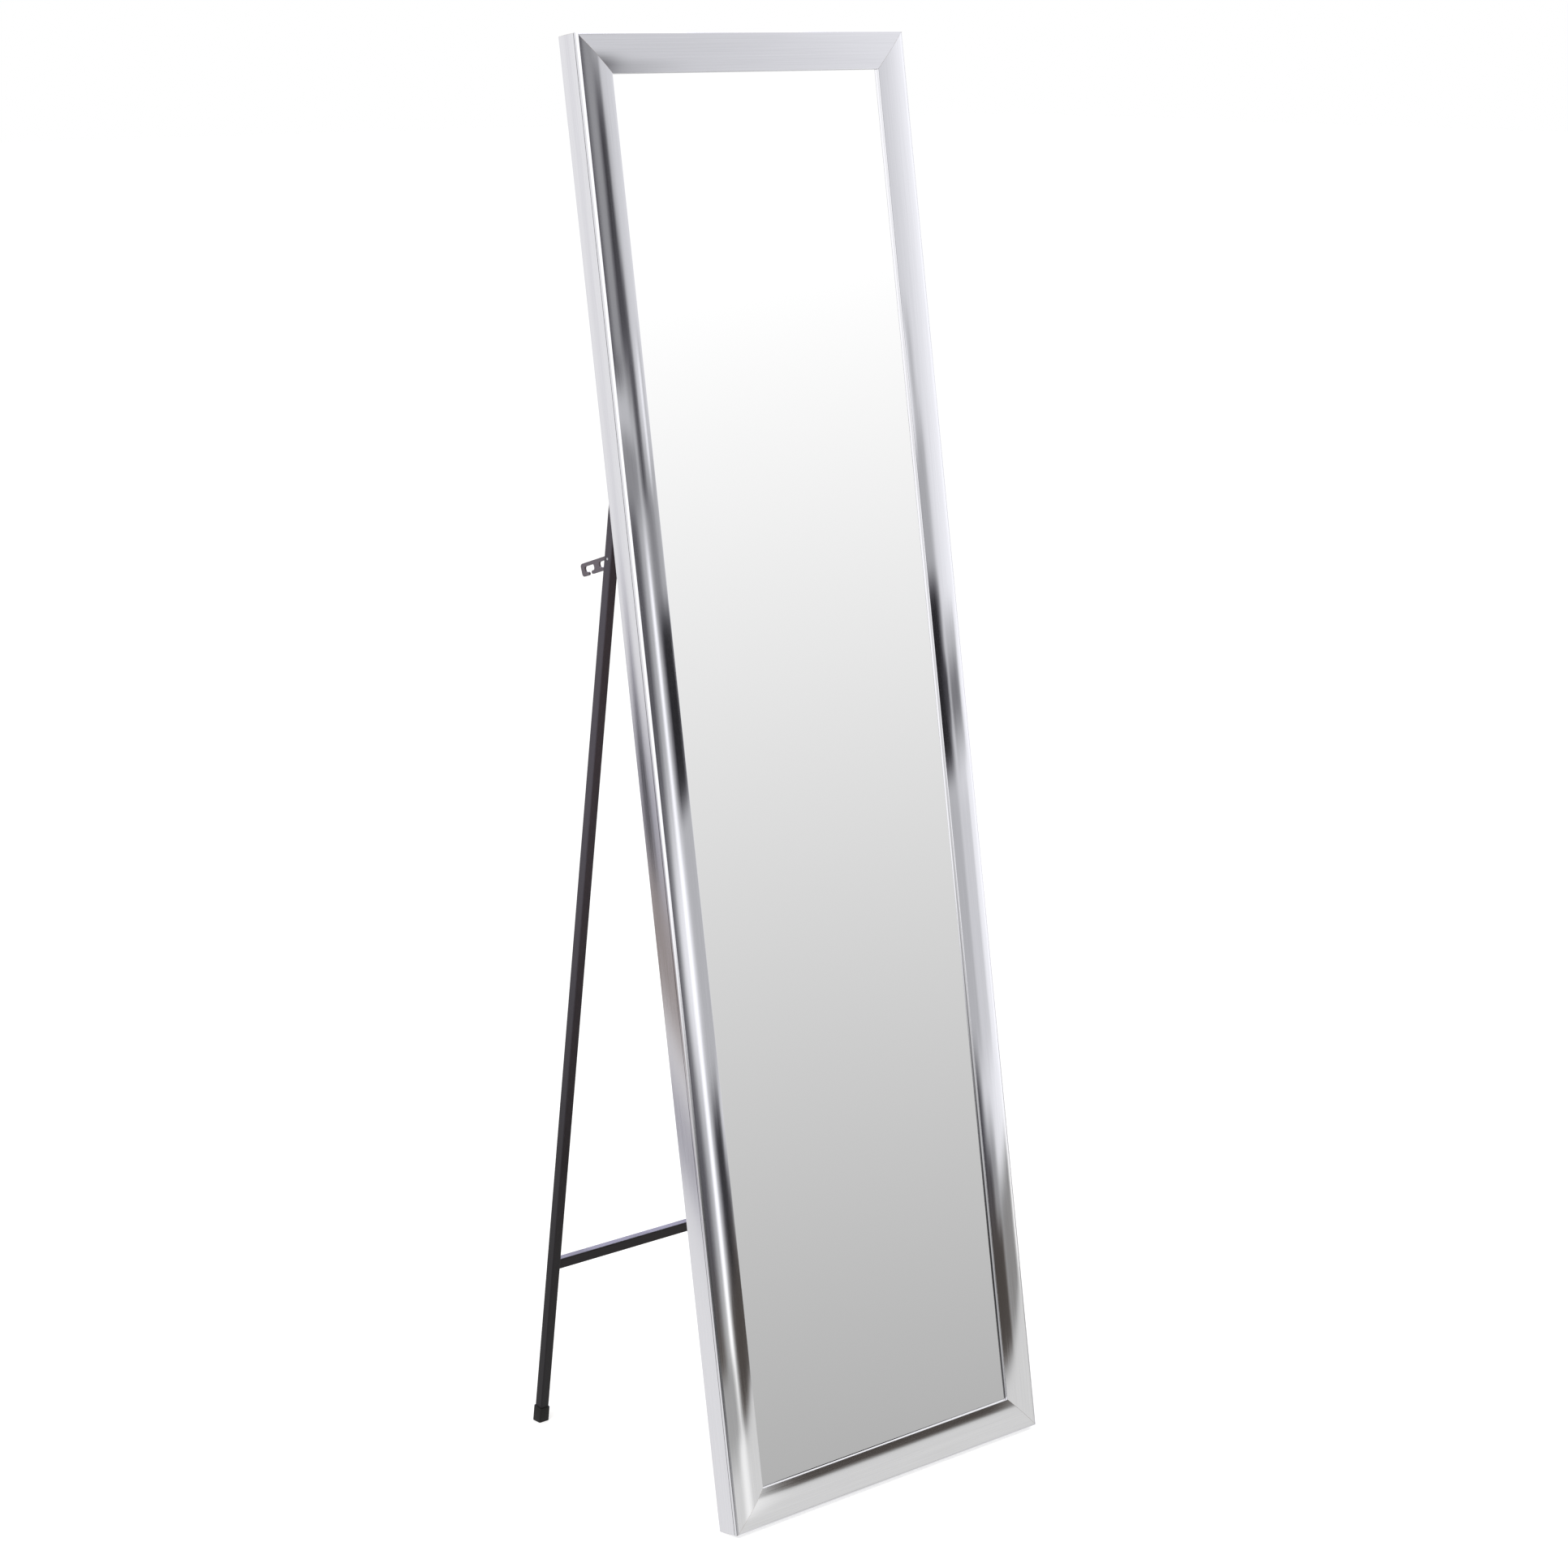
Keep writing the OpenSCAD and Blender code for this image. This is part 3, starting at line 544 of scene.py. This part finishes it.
# Its six flats, eight millimetres from one to the opposite one
FLAT_OFF = 0.004
for flat in range(6):
    flat_way = Vector((cos(flat * pi / 3), sin(flat * pi / 3), 0))
    cut_off(flat_way * FLAT_OFF, flat_way)
close_up()
bpy.ops.object.mode_set(mode="OBJECT")
lock_nut.data.materials.append(bright_zinc)
lock_nut.data.materials.append(white_nylon)
# The nylon ring is what lies past this height and within this radius
RING_Z = -0.0043
RING_R = 0.0030
for face in lock_nut.data.polygons:
    face.material_index = int(face.center.z < RING_Z and face.center.xy.length < RING_R)

# The bolt's head rests on the bracket's outer ear, and the nut on its inner one
BOLT_X = 0.1739
NUT_X = 0.1599
for side, hand in ((-1, "left"), (1, "right")):
    outward = Matrix.Rotation(side * pi / 2, 4, "Y")
    bolt_seat = leaned @ Matrix.Translation((side * BOLT_X, HINGE_Y, HINGE_Z)) @ outward
    nut_seat = leaned @ Matrix.Translation((side * NUT_X, HINGE_Y, HINGE_Z)) @ outward
    copy_to(pivot_bolt, f"bolt_{hand}", bolt_seat @ Matrix.Rotation(0.5 + side * 0.4, 4, "Z"),
            "mirror", f"pivot_bolt_{hand}")
    copy_to(lock_nut, f"nut_{hand}", nut_seat @ Matrix.Rotation(side * 0.2, 4, "Z"),
            "mirror", f"lock_nut_{hand}")
for pattern in (pivot_bolt, lock_nut):
    bpy.data.objects.remove(pattern)


# ---- Stand legs and crossbar ----
# Two square steel tubes and the bar welded between them, enamelled black. A plastic plug
# closes the top of each tube.
moulded_black = grained("moulded_black", 1500, (0.0075, 0.0072, 0.0070), (0.0130, 0.0126, 0.0122),
                        (0.46, 0.60), 0.00005, constants={"Specular IOR Level": 0.24})
refinish(black_enamel, "stand_leg_left", "stand_leg_right", "stand_crossbar")
refinish(moulded_black, "leg_plug_left", "leg_plug_right")


# ---- Foot caps ----
# A moulded black cap is pushed on the foot of each leg. Its mouth has a rounded edge, and
# its sole is moulded at a slant, so that it stands flat on the floor.
LEG_X = 0.1669
LEG_OPEN = radians(17.3)
# From the pivot down to the floor, along the leg
LEG_REACH = 1.043747
# Half the cap's width, how far up the leg it goes, its wall, how deep the leg sits in it,
# and how it is rounded along its corners, at its mouth and round its sole
CAP_HALF = 0.006
CAP_UP = 0.017
CAP_WALL = 0.0009
CAP_HOLLOW = 0.0128
CORNER_ROUND = 0.0014
MOUTH_ROUND = 0.0005
SOLE_ROUND = 0.0006
# It is drawn along the leg and longer than it is, and then cut off where the floor is
CAP_DRAWN = 0.0210
NEAR = 1e-5
cap_top = CAP_UP - LEG_REACH


def pick_edges(piece, wanted):
    """Selects the edges whose two ends both pass a test of their place."""
    bpy.ops.mesh.select_mode(type="EDGE")
    bpy.ops.mesh.select_all(action="DESELECT")
    bpy.ops.object.mode_set(mode="OBJECT")
    points = piece.data.vertices
    for edge in piece.data.edges:
        edge.select = all(wanted(points[end].co) for end in edge.vertices)
    bpy.ops.object.mode_set(mode="EDIT")


def pick_faces(piece, wanted):
    """Selects the faces whose middle passes a test of its place."""
    bpy.ops.mesh.select_mode(type="FACE")
    bpy.ops.mesh.select_all(action="DESELECT")
    bpy.ops.object.mode_set(mode="OBJECT")
    for face in piece.data.polygons:
        face.select = wanted(face.center)
    bpy.ops.object.mode_set(mode="EDIT")


def at_top(place):
    """On the upper end of the cap."""
    return place.z > cap_top - NEAR


def on_rim(place):
    """On the outer edge of the cap's mouth."""
    return at_top(place) and max(abs(place.x), abs(place.y)) > CAP_HALF - MOUTH_ROUND


foot_cap = start_plane("foot_cap", 2 * CAP_HALF, (0, 0, cap_top))
bpy.ops.mesh.bevel(offset=CORNER_ROUND, segments=6, affect="VERTICES")
bpy.ops.mesh.select_all(action="SELECT")
draw_to((0, 0, -CAP_DRAWN))
close_up()
pick_faces(foot_cap, at_top)
bpy.ops.mesh.inset(thickness=CAP_WALL)
draw_to((0, 0, -CAP_HOLLOW))
close_up()
pick_edges(foot_cap, on_rim)
bpy.ops.mesh.bevel(offset=MOUTH_ROUND, segments=3)
bpy.ops.object.mode_set(mode="OBJECT")
foot_cap.data.materials.append(moulded_black)
for side, hand in ((-1, "left"), (1, "right")):
    pivot = leaned @ Matrix.Translation((side * LEG_X, HINGE_Y, HINGE_Z))
    cap = copy_to(foot_cap, f"floor_cap_{hand}", pivot @ Matrix.Rotation(LEG_OPEN, 4, "X"),
                  "stand", f"foot_cap_{hand}")
    bpy.ops.object.mode_set(mode="EDIT")
    cut_off((0, 0, 0), (0, 0, -1))
    close_up()
    pick_edges(cap, lambda place: place.z < NEAR)
    bpy.ops.mesh.bevel(offset=SOLE_ROUND, segments=3)
    close_up()
    bpy.ops.object.mode_set(mode="OBJECT")
    bpy.ops.object.shade_smooth_by_angle(angle=SMOOTH_BELOW)
bpy.data.objects.remove(foot_cap)


# ---- Slotted stays, their brackets and pins ----
# A flat steel stay swings on a rivet beside each rail, and one of its three slots drops
# over a pin in the leg. The stays are phosphated a dull mauve grey.
phosphated = grained("phosphated_steel", 1200, (0.088, 0.072, 0.088), (0.125, 0.108, 0.126),
                     (0.42, 0.58), 0.00003)
refinish(phosphated, "stay_left", "stay_right")
refinish(black_enamel, "stay_bracket_left", "stay_bracket_right")
refinish(bright_zinc, "stay_rivet_left", "stay_rivet_right", "stay_pin_left", "stay_pin_right")
STAY_Z = 0.931451
for side, hand in ((-1, "left"), (1, "right")):
    for level, up, turn in (("low", -0.006, 50), ("high", 0.006, 5)):
        wood_screw_at(f"stay_screw_{hand}_{level}", side * BRACKET_X, STAY_Z + up,
                      turn + 25 * side, "stay_bracket_screws")
bpy.data.objects.remove(wood_screw)


# ---- Studio floor and light ----
# A seamless white floor under two soft lamps. It keeps the shadow of the mirror and of
# the stand's feet, and the camera sees it as white as the wall behind.
bpy.ops.object.select_all(action="DESELECT")
bpy.ops.mesh.primitive_plane_add(size=60, location=(0, 0, 0))
floor = bpy.context.object
floor.name = "studio_floor"
floor.visible_glossy = False
white_floor, tree, shader = new_finish("white_floor", {
    "Base Color": (0.8, 0.8, 0.8, 1), "Roughness": 0.9, "Specular IOR Level": 0.0,
    "Emission Color": (1, 1, 1, 1)})
seen = add_node(tree, "ShaderNodeLightPath").outputs["Is Camera Ray"]
set_inputs(tree, shader, {"Emission Strength": times(tree, seen, 0.45)})
floor.data.materials.append(white_floor)


def soft_lamp(name, place, size, watts):
    """A square lamp that faces the mirror's middle and shows in nothing."""
    lamp = bpy.data.lights.new(name, "AREA")
    lamp.shape = "SQUARE"
    lamp.size = size
    lamp.energy = watts
    lit = bpy.data.objects.new(name, lamp)
    lit.location = place
    lit.rotation_euler = (MIDDLE - Vector(place)).to_track_quat("-Z", "Y").to_euler()
    lit.visible_glossy = False
    bpy.context.scene.collection.objects.link(lit)


soft_lamp("key_lamp", (-2.6, -1.2, 3.0), 1.8, 60)
soft_lamp("fill_lamp", (2.4, -2.0, 2.4), 2.2, 30)


def facing(tree, way, direction):
    """How nearly a way looked is a direction: 1 straight along it, 0 square to it."""
    made = add_node(tree, "ShaderNodeVectorMath", {0: way, 1: direction}, operation="DOT_PRODUCT")
    return made.outputs["Value"]


def as_light(tree, tone):
    """The light that shows as a tone in the silver, which gives back nine tenths of it."""
    return times(tree, sums(tree, "POWER", tone, 2.2), 1.12)


# What the camera sees is plain white. The silvered glass, whose rays stay sharp, sees the
# room darken evenly towards the floor, and the foil sees the studio.
studio = bpy.data.worlds.new("studio")
bpy.context.scene.world = studio
studio.use_nodes = True
tree = studio.node_tree
tree.nodes.clear()
way = add_node(tree, "ShaderNodeTexCoord").outputs["Generated"]
toward = add_node(tree, "ShaderNodeSeparateXYZ", {"Vector": way}).outputs
rise = toward["Z"]
path = add_node(tree, "ShaderNodeLightPath").outputs
glossy = path["Is Glossy Ray"]
in_glass = add_node(tree, "ShaderNodeMapRange",
                    {"Value": rise, "From Min": -0.190, "From Max": 0.156,
                     "To Min": 0.680, "To Max": 1.0}).outputs["Result"]
# Behind and left of the mirror two low dark things show in the frame's side, one of them
# farther off than the other
behind = facing(tree, way, (-0.63, 0.777, 0))
far_thing = times(tree, ease(tree, rise, -0.297, -0.282), ease(tree, rise, -0.182, -0.225),
                  ease(tree, rise, -0.263, -0.251, 0.40, 0.28))
near_thing = times(tree, ease(tree, rise, -0.340, -0.324, 0, 0.36),
                   ease(tree, rise, -0.300, -0.317))
low_things = times(tree, sums(tree, "MAXIMUM", far_thing, near_thing),
                   ease(tree, behind, 0.75, 0.92))
# A dark post stands on the farther one, and shows as a streak along the side
beside = facing(tree, way, (0.777, 0.63, 0))
off_middle = sums(tree, "ABSOLUTE", sums(tree, "SUBTRACT", beside, 0.020))
off_post = sums(tree, "DIVIDE", off_middle, ease(tree, rise, -0.235, -0.185, 0.045, 0.024))
post = times(tree, ease(tree, off_post, 1.3, 0.3), ease(tree, rise, -0.254, -0.240, 0, 0.64),
             ease(tree, rise, -0.145, -0.218, 0.08, 1.0), sums(tree, "GREATER_THAN", behind, 0.5))
# The farther one is brown in its lower half, and all the rest of them is violet
brown = times(tree, ease(tree, rise, -0.310, -0.297), ease(tree, rise, -0.243, -0.253))
dark_hue = mix(tree, "RGBA", brown, (1.04, 1.0, 1.20, 1), (1.20, 1.0, 0.92, 1))
hued = sums(tree, "MAXIMUM", times(tree, low_things, 1.9), times(tree, post, 1.7))
at_back = times(tree, ease(tree, rise, -0.6, 0.5, 0.86, 0.93),
                sums(tree, "SUBTRACT", 1.0, low_things), sums(tree, "SUBTRACT", 1.0, post))
# In front it is bright, with a dark band low down, which shows in the frame's bead
height = sums(tree, "MULTIPLY_ADD", toward["Y"], 0.19, rise)
in_front = mix(tree, "FLOAT", ease(tree, height, -0.28, -0.37),
               ease(tree, height, -0.28, -0.15, 0.20, 1.06), 0.84)
in_foil = mix(tree, "FLOAT", ease(tree, toward["Y"], 0.15, -0.15), at_back, in_front)
# A high lamp behind the mirror, which shows along the top of the stand's crossbar
over_bar = facing(tree, way, (0.57, 0.606, 0.552))
high_lamp = ease(tree, over_bar, cos(radians(34)), cos(radians(18)))
in_foil = sums(tree, "MULTIPLY_ADD", high_lamp, 5.0, as_light(tree, in_foil))
reflected = mix(tree, "FLOAT", path["Is Singular Ray"], in_foil, as_light(tree, in_glass))
strength = mix(tree, "FLOAT", glossy, 0.75, reflected)
white = sums(tree, "MAXIMUM", path["Is Camera Ray"], path["Is Transmission Ray"])
strength = mix(tree, "FLOAT", white, strength, 1.0)
hue = mix(tree, "RGBA", times(tree, hued, glossy), (1, 1, 1, 1), dark_hue)
hue = mix(tree, "RGBA", times(tree, high_lamp, glossy), hue, (0.93, 0.91, 1.22, 1))
sky = add_node(tree, "ShaderNodeBackground", {"Color": hue, "Strength": strength})
add_node(tree, "ShaderNodeOutputWorld", {"Surface": sky.outputs[0]})
studio.cycles.sampling_method = "NONE"

# The bright screens and dark gaps in front of the mirror, which show in the foil alone:
# left, right, bottom and top in metres, with 9 where there is no edge, how soft the edges
# are across and up, and how light it is
screens = (
    ("far_right", 0.985, 9, -9, 9, 0.04, 0.05, 1.02),
    ("mid_screen", 0.17, 0.53, 0.28, 0.62, 0.05, 0.05, 0.70),
    ("mid_screen_right", 0.53, 0.78, 0.26, 0.60, 0.03, 0.05, 0.80),
    ("upper_screen", 0.15, 0.51, 0.80, 1.03, 0.05, 0.05, 0.66),
    ("upper_screen_left", 0.15, 0.34, 0.83, 0.975, 0.05, 0.03, 0.52),
    ("upper_haze", 0.36, 0.46, 1.03, 1.14, 0.04, 0.04, 0.72),
    ("dusk", -9, 0.06, -9, 9, 0.06, 0.02, 0.33),
    ("far_left", -9, -0.075, 0.33, 9, 0.025, 0.08, 1.02),
    ("left_glow", 0.035, 0.19, -0.02, 1.05, 0.055, 0.05, 0.69),
    ("mid_glow", 0.003, 0.20, 0.34, 0.62, 0.06, 0.12, 0.91),
    ("tall_lamp", 0.104, 0.150, -0.04, 0.92, 0.020, 0.07, 1.06),
    ("tall_lamp_foot", 0.104, 0.160, -0.04, 0.58, 0.020, 0.06, 1.06),
    ("upper_wall", -0.020, 0.08, 1.11, 9, 0.03, 0.03, 0.57),
    ("upper_wall_foot", -9, 0.105, 0.955, 1.04, 0.02, 0.03, 0.54),
    ("ledge", -9, 0.150, 1.035, 1.093, 0.02, 0.022, 0.74),
    ("top_haze", 0.170, 0.250, 1.10, 1.38, 0.07, 0.05, 0.69),
    ("upper_gap", 0.082, 0.232, 1.105, 1.22, 0.030, 0.09, 0.26),
    ("upper_gap_head", 0.082, 0.186, 1.15, 1.42, 0.028, 0.09, 0.26),
    ("upper_gap_foot", 0.155, 0.245, 0.965, 1.13, 0.025, 0.03, 0.33),
    ("window_gap", 0.215, 0.502, 0.623, 0.838, 0.060, 0.027, 0.165),
    ("window_gap_right", 0.44, 0.530, 0.675, 0.745, 0.030, 0.022, 0.25),
    ("window_gap_haze", 0.560, 0.865, 0.615, 0.790, 0.03, 0.03, 0.72),
    ("window_gap_far", 0.570, 0.815, 0.66, 0.735, 0.03, 0.03, 0.47),
    ("lower_shade", 0.41, 0.575, 0.07, 0.20, 0.05, 0.05, 0.57),
    ("floor_gap", 0.215, 0.415, -0.03, 0.285, 0.055, 0.05, 0.21),
    ("floor_gap_right", 0.40, 0.47, -0.03, 0.17, 0.03, 0.03, 0.28),
    ("floor_gap_foot", 0.185, 0.575, -0.09, 0.085, 0.05, 0.03, 0.28),
    ("floor_haze", 0.575, 0.96, -0.09, 0.11, 0.05, 0.04, 0.53),
    ("skirting", -9, 0.12, -0.09, 0.02, 0.04, 0.02, 0.63),
    ("near_floor", -9, 9, -9, -0.077, 0.05, 0.028, 0.82),
    ("lamp_foot_glow", 0.070, 0.185, -0.25, -0.068, 0.038, 0.015, 0.95),
    ("bright_spot", 0.340, 0.385, 0.985, 1.130, 0.025, 0.03, 1.04),
)
bpy.ops.object.select_all(action="DESELECT")
bpy.ops.mesh.primitive_plane_add(size=5, location=(2.35, -0.45, 1.0), rotation=(pi / 2, 0, 0))
screen_wall = bpy.context.object
screen_wall.name = "screen_wall"
bpy.ops.object.transform_apply(location=True, rotation=True, scale=True)
screen_wall.matrix_world = leaned
screen_light = bpy.data.materials.new("screen_light")
screen_light.use_nodes = True
tree = screen_light.node_tree
tree.nodes.clear()
place = add_node(tree, "ShaderNodeTexCoord").outputs["Object"]
spot = add_node(tree, "ShaderNodeSeparateXYZ", {"Vector": place}).outputs
tone = ease(tree, spot["X"], 0.2, 0.95, 0.80, 0.95)
for name, left, right, bottom, top, soft_x, soft_z, light in screens:
    mask = times(tree, ease(tree, spot["X"], left - soft_x, left + soft_x),
                 ease(tree, spot["X"], right + soft_x, right - soft_x),
                 ease(tree, spot["Z"], bottom - soft_z, bottom + soft_z),
                 ease(tree, spot["Z"], top + soft_z, top - soft_z))
    tone = mix(tree, "FLOAT", mask, tone, light, label=name)
# The light is a little yellow low down. The gaps are brown there, and violet higher up
upper = ease(tree, spot["Z"], 0.02, 0.20)
lit_tint = mix(tree, "RGBA", upper, (1.0, 1.003, 0.970, 1), (0.988, 0.994, 1.014, 1))
gap_tint = mix(tree, "RGBA", upper, (1.15, 1.0, 0.88, 1), (1.03, 1.0, 1.11, 1))
tint = mix(tree, "RGBA", ease(tree, tone, 0.62, 0.22), lit_tint, gap_tint)
glow = add_node(tree, "ShaderNodeEmission", {"Color": tint, "Strength": as_light(tree, tone)})
clear = add_node(tree, "ShaderNodeBsdfTransparent")
sharp = add_node(tree, "ShaderNodeLightPath").outputs["Is Singular Ray"]
hidden = add_node(tree, "ShaderNodeMixShader", {0: sharp, 1: glow.outputs[0], 2: clear.outputs[0]})
add_node(tree, "ShaderNodeOutputMaterial", {"Surface": hidden.outputs[0]})
screen_light.cycles.emission_sampling = "NONE"
screen_wall.data.materials.append(screen_light)
screen_wall.visible_camera = False
screen_wall.visible_diffuse = False
screen_wall.visible_transmission = False
screen_wall.visible_shadow = False
